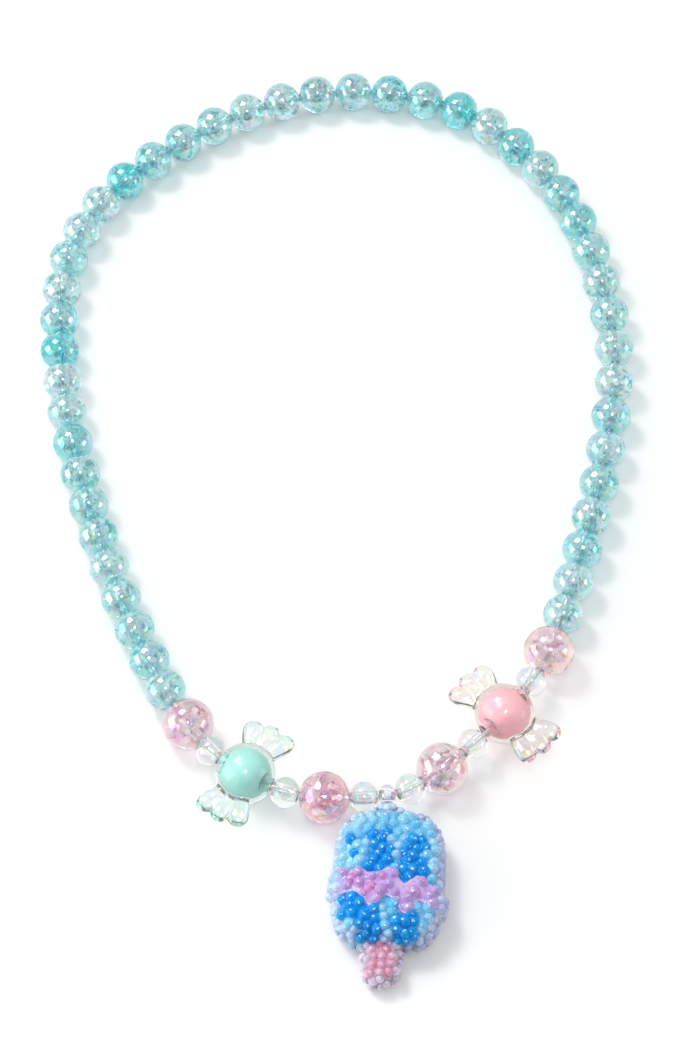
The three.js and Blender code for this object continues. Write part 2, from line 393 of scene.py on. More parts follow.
def flakeCluster(name, size, rule):
    draw = random.Random(rule["seed"])
    verts, faces = [], []
    radius = size["across"] / 2 * rule["reach"]
    corners = crackle["corners"]
    made = 0
    while made < rule["flakes"]:
        place = Vector((draw.uniform(-1, 1), draw.uniform(-1, 1), draw.uniform(-1, 1)))
        if not crackle["empty"] < place.length < 1:
            continue
        place *= radius
        wide = draw.uniform(rule["smallest"], rule["largest"]) / 2
        if Vector((place.x, 0, place.z)).length < rule["clear"] + wide * crackle["nearBore"]:
            continue
        if place.length + wide > size["length"] / 2 * crackle["inside"]:
            continue
        made += 1
        turn = Euler([draw.uniform(0, 2 * math.pi) for _ in range(3)]).to_matrix()
        bend = draw.uniform(-crackle["bend"], crackle["bend"])
        first = len(verts)
        for k in range(corners):
            angle = 2 * math.pi * k / corners
            reach = wide * draw.uniform(crackle["ragged"], 1.0)
            verts.append(place + turn @ Vector((reach * math.cos(angle), reach * math.sin(angle),
                                                bend * wide * math.cos(2 * angle))))
        for side in (1, -1):
            verts.append(place + turn @ Vector((0, 0, side * crackle["thick"] / 2)))
        for k in range(corners):
            a, b = first + k, first + (k + 1) % corners
            faces.append((first + corners, a, b))
            faces.append((first + corners + 1, b, a))
    return meshFrom(name, verts, faces)


def roundBeads(places, ways, finishes):
    draw = random.Random(beadShades["seed"])
    shadeOf = {}
    for i, name in enumerate(threadOrder):
        if name.startswith("aqua"):
            shadeOf[name] = beadShades["aqua"].get(i + 1, draw.uniform(*beadShades["drawn"]))
        else:
            shadeOf[name] = beadShades["pink"].get(name, beadShades["rest"])
    for kind, size in beadSizes.items():
        one = newObject(kind + "Bead", lathe(kind + "Bead", beadProfile(size), size["sides"]))
        piece, names = strungBeads(kind + "Beads", kind, one, finishes[kind], places, ways, shadeOf,
                                   size["spin"])
        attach(piece, "root")
        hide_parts(*names)
        discard(one)
        if kind in crackle:
            flakes = newObject(kind + "Flakes", flakeCluster(kind + "Flakes", size, crackle[kind]))
            inside, _ = strungBeads(kind + "Crackle", kind, flakes, finishes[kind + "Flake"], places, ways,
                                    shadeOf, size["spin"] + 1)
            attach(inside, "root")
            discard(flakes)
        print(f"{kind} beads: {len(names)}, {len(piece.data.polygons)} faces")


# the wrapped-candy beads: a clear ball round an opaque one, with a fan of three lobes on each side
candy = {
    "across": 12.0 * mm, "length": 11.4 * mm, "bore": 2.8 * mm, "boreReach": 9 * mm,
    "core": 6.6 * mm,         # the opaque ball; the clear one magnifies it
    "turned": {"candy_bead_pink": -6, "candy_bead_turquoise": 4},   # degrees on the cord
    "voxel": 0.2 * mm, "coreVoxel": 0.25 * mm,
    "coatEdge": 0.8 * mm,     # the fans have a rainbow coat, which fades out at the ball
}
lobe = {
    "length": 6.8 * mm, "across": 4.0 * mm, "thick": 2.6 * mm, "root": 4.9 * mm, "fan": 20.5,
    "rings": 22, "sides": 28,
    "widest": 0.64, "tip": 0.36,       # shares of the length: up to the widest place, and beyond it
    "neck": 0.66, "swell": 0.34,       # half width at the root, and what it gains
    "blunt": 2.3, "firstRing": 0.6,
    "flat": 0.35, "round": 0.65,       # how the thickness follows the width
}


def ballMesh(name, radius, segments=48, rings=24):
    work = bmesh.new()
    bmesh.ops.create_uvsphere(work, u_segments=segments, v_segments=rings, radius=radius)
    mesh = bpy.data.meshes.new(name)
    work.to_mesh(mesh)
    work.free()
    return smooth(mesh)


def lobeMesh(name):
    # a fat drop-shaped lobe from its root at the origin out along X, flatter than it is wide
    rings, sides = lobe["rings"], lobe["sides"]
    verts, faces = [(0, 0, 0)], []
    for i in range(1, rings):
        u = (1 - math.cos(math.pi * i / rings)) / 2
        if u < lobe["widest"]:
            swell = lobe["neck"] + lobe["swell"] * math.sin(math.pi / 2 * u / lobe["widest"])
        else:
            swell = (1 - ((u - lobe["widest"]) / lobe["tip"]) ** lobe["blunt"]) ** 0.5
        if i == 1:
            swell *= lobe["firstRing"]
        thick = (lobe["flat"] + lobe["round"] * swell) * swell * lobe["thick"]
        for j in range(sides):
            angle = 2 * math.pi * j / sides
            verts.append((u * lobe["length"], swell * lobe["across"] / 2 * math.cos(angle),
                          thick / 2 * math.sin(angle)))
    verts.append((lobe["length"], 0, 0))
    for j in range(sides):
        k = (j + 1) % sides
        faces.append((0, 1 + j, 1 + k))
        for i in range(rings - 2):
            a = 1 + i * sides
            faces.append((a + j, a + sides + j, a + sides + k, a + k))
        a = 1 + (rings - 2) * sides
        faces.append((len(verts) - 1, a + k, a + j))
    mesh = meshFrom(name, verts, faces)
    recalc(mesh)
    return mesh


def joined(name, parts):
    # parts: (mesh, matrix) pairs, put into one mesh
    work = bmesh.new()
    for mesh, place in parts:
        copy = mesh.copy()
        copy.transform(place)
        work.from_mesh(copy)
        bpy.data.meshes.remove(copy)
    mesh = bpy.data.meshes.new(name)
    work.to_mesh(mesh)
    work.free()
    return mesh


def merged(name, mesh, voxel, rounds, cut):
    # one skin round overlapping shapes, with soft joins; cut: a mesh that is then taken out of it
    obj = newObject(name, mesh)
    tool = newObject(name + "Cut", cut)
    remesh = obj.modifiers.new("remesh", "REMESH")
    remesh.mode = "VOXEL"
    remesh.voxel_size = voxel
    soften = obj.modifiers.new("soften", "SMOOTH")
    soften.factor = 0.5
    soften.iterations = rounds
    hole = obj.modifiers.new("hole", "BOOLEAN")
    hole.operation = "DIFFERENCE"
    hole.object = tool
    hole.solver = "EXACT"
    result = plainMesh(obj, name)
    discard(obj, tool)
    return smooth(result)


def candyBeads(places, ways, finishes):
    ball = ballMesh("ball", candy["across"] / 2)
    ball.transform(Matrix.Diagonal((1, candy["length"] / candy["across"], 1, 1)))
    leaf = lobeMesh("leaf")
    parts = [(ball, Matrix())]
    for side in (0, 180):
        for place in (-1, 0, 1):
            turn = Matrix.Rotation(math.radians(side + place * lobe["fan"]), 4, "Z")
            parts.append((leaf, turn @ Matrix.Translation((lobe["root"], 0, 0))))
    rod = rodMesh("rod", candy["bore"] / 2, -candy["boreReach"], candy["boreReach"], 32)
    shell = merged("shell", joined("shellParts", parts), candy["voxel"], 6, rod)
    shell.attributes.new("pearl", "FLOAT", "POINT")
    for i, vert in enumerate(shell.vertices):
        beyond = (vert.co.length - candy["across"] / 2) / candy["coatEdge"]
        shell.attributes["pearl"].data[i].value = min(max(beyond, 0), 1)
    core = merged("core", ballMesh("coreBall", candy["core"] / 2, 64, 32), candy["coreVoxel"], 2, rod.copy())
    for name, slotName in (("candy_bead_pink", "candy_pink"), ("candy_bead_turquoise", "candy_turquoise")):
        turn = turnAlong(ways[name]).to_4x4() @ Matrix.Rotation(math.radians(candy["turned"][name]), 4, "Z")
        stand = Matrix.Translation(places[name]) @ turn
        short = slotName.replace("candy_", "")
        outer = shell.copy()
        outer.transform(stand)
        piece = newObject(short + "CandyShell", outer, [finishes[short + "Glaze"]])
        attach(piece, "root")
        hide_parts(name)
        inner = core.copy()
        inner.transform(stand)
        heart = newObject(short + "CandyCore", inner, [finishes[short + "Core"]])
        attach(heart, "root")
    print(f"candy beads: {len(shell.polygons)} faces in a shell")


# the elastic cord
cord = {"diameter": 0.8 * mm, "sides": 12, "steps": 360}


def elasticCord(places, finishes):
    curve = bpy.data.curves.new("elastic", "CURVE")
    curve.dimensions = "3D"
    spline = curve.splines.new("POLY")
    points = closedCurve([places[n] for n in threadOrder], cord["steps"])
    spline.points.add(len(points) - 1)
    for point, place in zip(spline.points, points):
        point.co = (*place, 1)
    spline.use_cyclic_u = True
    tree, given = newTree("cordTree", (("Cord Radius", "Float", cord["diameter"] / 2),
                                       ("Sides", "Int", cord["sides"])))
    section = addNode(tree, "GeometryNodeCurvePrimitiveCircle", None,
                      {"Resolution": given.outputs["Sides"], "Radius": given.outputs["Cord Radius"]})
    tube = addNode(tree, "GeometryNodeCurveToMesh", None,
                   {"Curve": given.outputs["Geometry"], "Profile Curve": section.outputs["Curve"]})
    rounded = addNode(tree, "GeometryNodeSetShadeSmooth", None, {"Geometry": tube.outputs[0]})
    endTree(tree, rounded.outputs[0], finishes["elastic"])
    mesh = runTree(newObject("elasticLine", curve), tree, "elasticCord")
    recalc(mesh)
    piece = newObject("elasticCord", mesh)
    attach(piece, "root")
    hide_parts("elastic_cord")
    print("elastic cord:", len(mesh.polygons), "faces")


def closedCurve(points, steps):
    # a smooth closed line through the points, with the spacing-aware knots of a cord under light tension
    count = len(points)
    perSpan = max(4, steps // count)
    line = []
    for i in range(count):
        p = [points[(i + k) % count] for k in (-1, 0, 1, 2)]
        t = [0.0]
        for a, b in zip(p, p[1:]):
            t.append(t[-1] + math.sqrt((b - a).length))
        for step in range(perSpan):
            u = t[1] + (t[2] - t[1]) * step / perSpan
            a1 = p[0].lerp(p[1], (u - t[0]) / (t[1] - t[0]))
            a2 = p[1].lerp(p[2], (u - t[1]) / (t[2] - t[1]))
            a3 = p[2].lerp(p[3], (u - t[2]) / (t[3] - t[2]))
            b1 = a1.lerp(a2, (u - t[0]) / (t[2] - t[0]))
            b2 = a2.lerp(a3, (u - t[1]) / (t[3] - t[1]))
            line.append(b1.lerp(b2, (u - t[1]) / (t[2] - t[1])))
    return line


# the ice-lolly pendant, covered in small clear beads
lolly = {
    "width": 19.9 * mm, "length": 27.2 * mm, "thick": 8.6 * mm, "square": 3.8, "sides": 72,
    "fromBail": 17.9 * mm, "aside": 0.2 * mm, "lean": 3.0,
    "voxel": 0.19 * mm, "lowest": 0.02 * mm,
    "skin": 0.6 * mm, "backSkin": 0.3 * mm,   # how deep the coloured inside lies, and how high above the back
}
stick = {
    "width": 6.8 * mm, "length": 12.0 * mm, "thick": 5.0 * mm, "square": 3.0, "sides": 48,
    "fromBody": 15.0 * mm, "aside": -0.6 * mm, "beadsTo": 4.6 * mm,
    "pinkWidth": 2.4 * mm, "pinkLength": 4.8 * mm, "pinkFrom": 2 * mm,   # half sizes, and its lowest height
    "rimShare": 0.6,
}
stem = {"radius": 1.15 * mm, "low": -5 * mm, "linedRadius": 0.85 * mm, "linedTop": -2.2 * mm}
# the raised band; an inset is in mm within its outline, and sunk is how much lower it lies
wavyBand = {
    "rise": 0.7 * mm, "low": 0.6 * mm, "high": 14 * mm, "steps": 8,
    "coverInset": 0.7, "edgeInset": 0.15, "innerInset": 0.6, "edgeSunk": 0.5 * mm, "innerSunk": 0.3 * mm,
    "clearance": 0.5, "beadsTo": 9.3 * mm, "faceUp": 0.15, "faceAside": 0.7,
    "edgeColor": "#e4ccee", "resin": "#dabce2",
}
# the cushion's section: share of the half width, share of the thickness
cushionProfile = [(0, 0), (0.84, 0), (0.93, 0.05), (0.98, 0.2), (1, 0.42), (0.985, 0.62), (0.93, 0.8),
                  (0.8, 0.92), (0.5, 0.98), (0, 1)]
seedRule = {
    # small beads on the face, rim, band and stick: across, spread of sizes, spacing, draw, the coloured
    # ball's share of the clear one, and the height above which they lie
    "face": dict(size=2.1 * mm, vary=0.16, spacing=1.5 * mm, seed=4, heart=0.76, above=2 * mm),
    "rim": dict(size=1.75 * mm, vary=0.12, spacing=1.36 * mm, seed=5, heart=0.66, above=1.5 * mm),
    "band": dict(size=1.9 * mm, vary=0.2, spacing=1.6 * mm, seed=8, heart=0.78, above=2.4 * mm),
    "stick": dict(size=1.7 * mm, vary=0.16, spacing=1.3 * mm, seed=6, heart=0.7, above=1.2 * mm),
    "density": 1.8e6,
}
# the band's two edges round the body, in mm
upperEdge = [(-13, -0.4), (-9.4, 0.5), (-7.3, -0.7), (-5.7, 0.1), (-3.2, -1.1), (-0.2, 0.2), (1.4, -0.8),
             (2.9, -2.9), (5.5, -1.2), (7.6, -2.7), (13, -3.6)]
lowerEdge = [(13, -5.4), (10.6, -6.4), (9, -8.2), (6.4, -6.4), (5.2, -7), (3.4, -9.1), (1.6, -6.9), (0, -5.6),
             (-1.2, -6.2), (-3, -8), (-4.8, -5.8), (-6.6, -5.1), (-13, -5.4)]
# deep blue patches, as the face is seen from the camera: left, right, low and high edge in mm
bluePatches = [(-8.3, -6.4, -0.6, 6.6), (-4.3, 0.3, -1.2, 7.4), (2.1, 6.9, -2.4, 6.4),
               (-8.8, -5.5, -11.6, -4.4), (-5.2, -1.0, -16.2, -5.5), (1.2, 5.6, -16.3, -6.8)]
# where the body's colours change; a height or a half size is in mm
bodyZones = {
    "tilt": 0.66, "faceHeight": 9.3, "patchSquare": 4,
    "halfWidth": 9.9, "halfLength": 13.6, "rimFrom": 0.72, "rimBelow": 4.5, "rimBeadsFrom": 0.66,
    "lilacFrom": 4 * mm,
}
# the two colours between which the seeds of a zone vary
lollyColors = {
    "deep": ("#0096e0", "#00a8ec"), "sky": ("#6cc4ec", "#b0dcf4"),
    "rim": ("#b6d0ee", "#d2e4f6"), "rightRim": ("#bcc4e8", "#d2d8f0"),
    "band": ("#c0a8d8", "#d494c4"), "stick": ("#e4bccb", "#dc94a8"), "stickRim": ("#d6cad6", "#e4c4d0"),
}
# the small beads round the stem, from the bail's middle, in mm
neckSpots = [(-0.95, -3.1, 0.9), (0.95, -3.1, 0.9), (-2.6, -3.9, 0.7), (2.6, -3.9, 0.7), (0, -3.9, 2.0),
             (-1.1, -3.2, -1.0), (1.1, -3.2, -1.0)]
neckRadius = 0.9 * mm
# how a small lined bead is painted: a painted glint at its bore's end, a ring of painted shade round
# that, and painted light on its low sides
seedLook = {
    "glintEnd": 0.978, "glintColor": "#ffffff", "shadeRingEnd": 0.91, "shadeRingFactor": 0.72,
    "paintedLitFrom": 0.55, "paintedLitOver": 0.45, "paintedLitGain": 1.5, "paintedLitLift": 0.03,
    "halfWidth": 10 * mm, "halfLength": 13.6 * mm, "curve": 5, "upward": 0.8,
    "glintAside": (-0.7, 0.7), "glintAlong": (-0.9, 0.5), "seed": 17,
    "touching": 0.001 * mm, "bareFrom": 0.35 * mm,
}


def outlineReach(angle, square):
    return (abs(math.cos(angle)) ** square + abs(math.sin(angle)) ** square) ** (-1 / square)


def cushionMesh(name, size, grow=0.0):
    # a flat-backed cushion with a rounded-rectangle outline, its back on z = 0
    sides, perSpan = size["sides"], 4
    wide, tall, high = size["width"] / 2 + grow, size["length"] / 2 + grow, size["thick"] + grow
    fine = []
    for (r0, z0), (r1, z1) in zip(cushionProfile, cushionProfile[1:]):
        for k in range(perSpan):
            fine.append((r0 + (r1 - r0) * k / perSpan, z0 + (z1 - z0) * k / perSpan))
    fine.append(cushionProfile[-1])
    rings = [p for p in fine if p[0] > 0]
    verts, faces = [(0, 0, 0)], []
    for r, z in rings:
        for i in range(sides):
            angle = 2 * math.pi * i / sides
            reach = outlineReach(angle, size["square"]) * r
            verts.append((wide * reach * math.cos(angle), tall * reach * math.sin(angle), high * z))
    verts.append((0, 0, high))
    for i in range(sides):
        k = (i + 1) % sides
        faces.append((0, 1 + k, 1 + i))
        for ring in range(len(rings) - 1):
            a = 1 + ring * sides
            faces.append((a + i, a + k, a + sides + k, a + sides + i))
        a = 1 + (len(rings) - 1) * sides
        faces.append((a + i, a + k, len(verts) - 1))
    return meshFrom(name, verts, faces)


def smoothLine(points, count):
    # a uniform spline through the points, in mm
    line = []
    for i in range(len(points) - 1):
        p = [Vector(points[min(max(i + k, 0), len(points) - 1)]) for k in (-1, 0, 1, 2)]
        for step in range(count):
            u = step / count
            line.append(0.5 * (2 * p[1] + (p[2] - p[0]) * u
                               + (2 * p[0] - 5 * p[1] + 4 * p[2] - p[3]) * u ** 2
                               + (3 * p[1] - p[0] - 3 * p[2] + p[3]) * u ** 3))
    line.append(Vector(points[-1]))
    return line


def seedTree(name, material):
    # small balls spread over a surface, none nearer than the spacing, with sizes that vary
    tree, given = newTree(name, (
        ("Seed Size", "Float", 2 * mm), ("Vary", "Float", 0.3), ("Spacing", "Float", 1.6 * mm),
        ("Density", "Float", seedRule["density"]), ("Random Seed", "Int", 1),
    ))
    spread = addNode(tree, "GeometryNodeDistributePointsOnFaces", {"distribute_method": "POISSON"}, {
        "Mesh": given.outputs["Geometry"], "Distance Min": given.outputs["Spacing"],
        "Density Max": given.outputs["Density"], "Seed": given.outputs["Random Seed"],
    })
    ball = addNode(tree, "GeometryNodeMeshIcoSphere", {"Radius": 0.5, "Subdivisions": 3})
    least = addNode(tree, "ShaderNodeMath", {"operation": "SUBTRACT", 0: 1.0}, {1: given.outputs["Vary"]})
    most = addNode(tree, "ShaderNodeMath", {"operation": "ADD", 0: 1.0}, {1: given.outputs["Vary"]})
    factor = addNode(tree, "FunctionNodeRandomValue", {"data_type": "FLOAT"}, {
        "Seed": given.outputs["Random Seed"], 2: least.outputs[0], 3: most.outputs[0],
    })
    size = addNode(tree, "ShaderNodeMath", {"operation": "MULTIPLY"},
                   {0: factor.outputs[1], 1: given.outputs["Seed Size"]})
    where = addNode(tree, "GeometryNodeInputPosition")
    kept = addNode(tree, "GeometryNodeStoreNamedAttribute",
                   {"data_type": "FLOAT_VECTOR", "Name": "seedMiddle"},
                   {"Geometry": spread.outputs["Points"], "Value": where.outputs[0]})
    balls = addNode(tree, "GeometryNodeInstanceOnPoints", None,
                    {"Points": kept.outputs[0], "Instance": ball.outputs[0], "Scale": size.outputs[0]})
    endTree(tree, balls.outputs[0], material)
    return tree


def seedsOver(name, base, rule, material, share=1.0):
    # base: the mesh that they cover; gives the balls as a mesh, share of their full size
    values = [("Seed Size", rule["size"] * share), ("Vary", rule["vary"]), ("Spacing", rule["spacing"]),
              ("Random Seed", rule["seed"])]
    return runTree(newObject(name, base.copy()), seedTree(name + "Tree", material), name, values)


def facesWhere(mesh, keep):
    # a copy of a mesh with only the faces whose middle and normal pass the test
    work = bmesh.new()
    work.from_mesh(mesh)
    out = [f for f in work.faces if not keep(f.calc_center_median(), f.normal)]
    bmesh.ops.delete(work, geom=out, context="FACES")
    result = bpy.data.meshes.new(mesh.name + "Cover")
    work.to_mesh(result)
    work.free()
    return result


def bandShape(name, inset, rise):
    # the raised band: a wavy plate through the whole body, kept to a slightly grown cushion
    upper = [(x, y - inset) for x, y in upperEdge]
    lower = [(x, y + inset) for x, y in lowerEdge]
    edge = smoothLine(upper, wavyBand["steps"]) + smoothLine(lower, wavyBand["steps"])
    count = len(edge)
    verts = [(p.x * mm, p.y * mm, z) for z in (wavyBand["low"], wavyBand["high"]) for p in edge]
    faces = [tuple(range(count)), tuple(reversed(range(count, 2 * count)))]
    for i in range(count):
        k = (i + 1) % count
        faces.append((i, k, count + k, count + i))
    plate = meshFrom(name, verts, faces)
    recalc(plate)
    obj = newObject(name, plate)
    other = newObject(name + "Limit", cushionMesh(name + "Limit", lolly, rise))
    keep = obj.modifiers.new("keep", "BOOLEAN")
    keep.operation = "INTERSECT"
    keep.solver = "EXACT"
    keep.object = other
    mesh = plainMesh(obj, name)
    discard(obj, other)
    return mesh


def zoneColor(place, draw):
    # the colour of the seed at a place on the body, in metres from the body's middle; the patches run
    # over the edge and down the lower side, as they are seen from the camera
    x, y, z = place.x / mm, place.y / mm, place.z / mm
    seen = y - bodyZones["tilt"] * (bodyZones["faceHeight"] - z)
    square = bodyZones["patchSquare"]
    for left, right, low, high in bluePatches:
        across = (x - (left + right) / 2) / (right - left) * 2
        along = (seen - (low + high) / 2) / (high - low) * 2
        if abs(across) ** square + abs(along) ** square < 1:
            return mixed(*lollyColors["deep"], draw.random() ** 2)
    square = lolly["square"]
    reach = (abs(x) / bodyZones["halfWidth"]) ** square + (abs(y) / bodyZones["halfLength"]) ** square
    if z < bodyZones["rimBelow"] or reach > bodyZones["rimFrom"]:
        return rimColor(place, draw)
    return mixed(*lollyColors["sky"], draw.random())


def rimColor(place, draw):
    # pale blue round the left and top, lilac down the right
    side = "rightRim" if place.x > bodyZones["lilacFrom"] else "rim"
    return mixed(*lollyColors[side], draw.random())


def mixLinear(a, b, share):
    return tuple(p + (q - p) * share for p, q in zip(a, b))


def mixed(one, other, share):
    return mixLinear(hexColor(one), hexColor(other), share)


def paintFromSeeds(mesh, seeds, colorOf, between=None):
    # every vertex takes the colour of the seed it lies nearest to; between: the colour of the bare resin
    middles = seeds.attributes["seedMiddle"].data
    looks = {}
    draw = random.Random(seedLook["seed"])
    tree = KDTree(len(seeds.vertices))
    owners = []
    for i, vert in enumerate(seeds.vertices):
        tree.insert(vert.co, i)
        key = tuple(round(c * 1e6) for c in middles[i].vector)
        owners.append(key)
        if key not in looks:
            middle = Vector(middles[i].vector)
            # each seed's painted glint sits at its bore's end, turned at random over its upper side
            bore = Vector((draw.uniform(*seedLook["glintAside"]), draw.uniform(*seedLook["glintAlong"]), 1))
            looks[key] = (middle, colorOf(middle, draw), bore.normalized())
    tree.balance()
    colors = mesh.color_attributes.new("tint", "FLOAT_COLOR", "POINT")
    for i, vert in enumerate(mesh.vertices):
        _, index, away = tree.find(vert.co)
        middle, color, bore = looks[owners[index]]
        # on a seed's own surface: its colour with painted light, a painted glint and a ring of painted shade
        if away < seedLook["touching"]:
            color = linedSeedWithPaintedLight(color, (vert.co - middle).normalized(), middle, bore)
        elif between and away > seedLook["bareFrom"]:
            color = hexColor(between)
        colors.data[i].color = color


def linedSeedWithPaintedLight(color, way, middle, bore):
    # a small lined glass bead: deepest on top, with painted light low down at its sides, and a painted
    # white glint at its bore end in a ring of painted shade
    facing = way.dot(bore)
    # the painted glint at the bore's end
    if facing > seedLook["glintEnd"]:
        return hexColor(seedLook["glintColor"])
    # painted light, growing towards the seed's low sides
    outward = Vector(((middle.x / seedLook["halfWidth"]) ** seedLook["curve"],
                      (middle.y / seedLook["halfLength"]) ** seedLook["curve"], seedLook["upward"]))
    low = (seedLook["paintedLitFrom"] - way.dot(outward.normalized())) / seedLook["paintedLitOver"]
    litColor = tuple(min(c * seedLook["paintedLitGain"] + seedLook["paintedLitLift"], 1.0) for c in color)
    shaded = mixLinear(color, litColor, min(max(low, 0), 1))
    # a ring of painted shade round the painted glint
    if facing > seedLook["shadeRingEnd"]:
        return tuple(c * seedLook["shadeRingFactor"] for c in shaded[:3]) + (1.0,)
    return shaded


def seededHeart(name, base, covers, place, material, colorOf, between=None):
    # the coloured inside of a part: its core and a small coloured ball in each clear one
    seeds = joined(name + "Seeds", [(seedsOver(name + "Seeds", mesh, rule, material, rule["heart"]), Matrix())
                                     for mesh, rule in covers])
    heart = joined(name, [(base, Matrix()), (seeds, Matrix())])
    paintFromSeeds(heart, seeds, colorOf, between)
    heart.transform(place)
    return smooth(heart)


def stickColor(place, draw):
    # pink on its face, greyish pink round the sides
    pink = abs(place.x) < stick["pinkWidth"] and abs(place.y) < stick["pinkLength"]
    if pink and place.z > stick["pinkFrom"]:
        return mixed(*lollyColors["stick"], draw.random())
    return mixed(*lollyColors["stickRim"], draw.random() * stick["rimShare"])


def bandColor(place, draw):
    if abs(place.x) > wavyBand["beadsTo"]:  # the rim's own small beads run past both ends of the band
        return rimColor(place, draw)
    return mixed(*lollyColors["band"], draw.random() ** 1.5)


def onRim(place):
    x, y = abs(place.x) / (lolly["width"] / 2), abs(place.y) / (lolly["length"] / 2)
    return x ** lolly["square"] + y ** lolly["square"] > bodyZones["rimBeadsFrom"]


def underBand(place):
    # whether a small bead at a place on the body would lie under the band
    x, y, clearance = place.x / mm, place.y / mm, wavyBand["clearance"]
    return levelAt(lowerEdge[::-1], x) - clearance < y < levelAt(upperEdge, x) + clearance


def levelAt(edge, x):
    for (x0, y0), (x1, y1) in zip(edge, edge[1:]):
        if x0 <= x <= x1:
            return y0 + (y1 - y0) * (x - x0) / (x1 - x0)
    return edge[-1][1]


def flatUnder(mesh):
    # nothing reaches below the table
    for vert in mesh.vertices:
        vert.co.z = max(vert.co.z, lolly["lowest"])
    return mesh


def tintAll(mesh, color):
    tints = mesh.color_attributes.new("tint", "FLOAT_COLOR", "POINT")
    for item in tints.data:
        item.color = hexColor(color)
    return mesh


def neckSeeds(share):
    # small beads round the stem, between the bail and the body
    return [(ballMesh("neckSeed", neckRadius * share, 24, 16), Matrix.Translation(Vector(spot) * mm))
            for spot in neckSpots]


def seedCovers(body, handle):
    # the faces that the small beads cover, by their rule's name
    face, rim, band, grip = (seedRule[key]["above"] for key in ("face", "rim", "band", "stick"))
    raised = bandShape("bandCover", wavyBand["coverInset"], wavyBand["rise"])
    return {
        "face": facesWhere(body, lambda p, n: p.z > face and not onRim(p) and not underBand(p)),
        "rim": facesWhere(body, lambda p, n: p.z > rim and onRim(p)),
        "band": facesWhere(raised, lambda p, n: p.z > band and (n.z > wavyBand["faceUp"]
                                                                or abs(n.x) > wavyBand["faceAside"])),
        "stick": facesWhere(handle, lambda p, n: p.z > grip and p.y < stick["beadsTo"]),
    }


def pendantSkin(at, place, low, covers, body, handle, clear):
    # one clear skin over the body, band, stick, small beads, bail and stem, with the bail's bore through it
    outer = [(body, place), (bandShape("bandBar", 0, wavyBand["rise"]), place), (handle, low)]
    for key, mesh in covers.items():
        seeds = seedsOver(key + "Seeds", mesh, seedRule[key], clear)
        outer.append((seeds, low if key == "stick" else place))
    ball = ballMesh("bailBall", bail["across"] / 2)
    ball.transform(Matrix.Diagonal((bail["length"] / bail["across"], 1, 1, 1)))
    outer += [(ball, at), (rodMesh("stem", stem["radius"], stem["low"], 0, 32), at),
              (joined("neck", neckSeeds(1.0)), at)]
    rod = rodMesh("bailRod", bail["bore"] / 2, -bail["boreReach"], bail["boreReach"], 24)
    rod.transform(at @ Matrix.Rotation(math.pi / 2, 4, "Z"))
    return flatUnder(merged("lollyResin", joined("lollyParts", outer), lolly["voxel"], 2, rod))


def pendantHearts(at, place, low, covers, lining):
    # the coloured insides: of the body, of the band's edge with the stem, of the band and of the stick
    under = Matrix.Translation((0, 0, lolly["backSkin"]))
    bodyCore = cushionMesh("bodyCore", lolly, -lolly["skin"])
    bodyCore.transform(under)
    stickCore = cushionMesh("stickCore", stick, -lolly["skin"])
    stickCore.transform(under)
    bandCore = bandShape("bandCore", wavyBand["innerInset"], wavyBand["rise"] - wavyBand["innerSunk"])
    edge = bandShape("bandEdge", wavyBand["edgeInset"], wavyBand["rise"] - wavyBand["edgeSunk"])
    stemHeart = rodMesh("stemHeart", stem["linedRadius"], stem["low"], stem["linedTop"], 24)
    necks = joined("neckHearts", neckSeeds(seedRule["rim"]["heart"]))
    pale = lollyColors["rim"][1]
    edges = [(tintAll(edge, wavyBand["edgeColor"]), place), (tintAll(stemHeart, pale), at),
             (tintAll(necks, pale), at)]
    on = {key: (mesh, seedRule[key]) for key, mesh in covers.items()}
    return {
        "lollyBody": seededHeart("lollyBody", bodyCore, [on["face"], on["rim"]], place, lining, zoneColor),
        "lollyBandEdge": joined("lollyBandEdge", edges),
        "lollyBand": seededHeart("lollyBand", bandCore, [on["band"]], place, lining, bandColor,
                                 wavyBand["resin"]),
        "lollyStick": seededHeart("lollyStick", stickCore, [on["stick"]], low, lining, stickColor),
    }


def lollyPendant(places, finishes):
    middle = places["lolly_pendant"]
    at = Matrix.Translation(middle)
    place = Matrix.Translation((middle.x + lolly["aside"], middle.y - lolly["fromBail"], 0)) \
        @ Matrix.Rotation(math.radians(-lolly["lean"]), 4, "Z")
    low = place @ Matrix.Translation((stick["aside"], -stick["fromBody"], 0))
    clear, lining = finishes["lollyResin"], finishes["lollyHeart"]
    body = cushionMesh("body", lolly)
    handle = cushionMesh("handle", stick)
    covers = seedCovers(body, handle)

    skin = pendantSkin(at, place, low, covers, body, handle, clear)
    piece = newObject("lollyResin", skin, [clear])
    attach(piece, "root")
    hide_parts("lolly_pendant")

    hearts = pendantHearts(at, place, low, covers, lining)
    for name, mesh in hearts.items():
        piece = newObject(name, flatUnder(mesh), [lining])
        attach(piece, "root")
    inside = sum(len(mesh.polygons) for mesh in hearts.values())
    print("pendant: resin", len(skin.polygons), "faces, hearts", inside)


# the finishes

def passLamps(tree, shader, tintHex):
    # clear plastic lets the lamps' light on to what lies inside and behind it, slightly tinted
    path = addNode(tree, "ShaderNodeLightPath")
    passed = addNode(tree, "ShaderNodeBsdfTransparent", {"Color": hexColor(tintHex)})
    surface(tree, addNode(tree, "ShaderNodeMixShader", None,
                          {0: path.outputs["Is Shadow Ray"], 1: shader.outputs[0], 2: passed.outputs[0]}))


def pattern(tree, kind, grain, settings=None):
    # a texture in the object's own coordinates; grain: the size of its cells or clouds in metres
    where = addNode(tree, "ShaderNodeTexCoord")
    return addNode(tree, kind, {"Scale": 1 / grain, **(settings or {})}, {"Vector": where.outputs["Object"]})


def mixColors(tree, share, one, other):
    mix = addNode(tree, "ShaderNodeMix", {"data_type": "RGBA", 6: hexColor(one), 7: hexColor(other)},
                  {0: share})
    return mix.outputs[2]


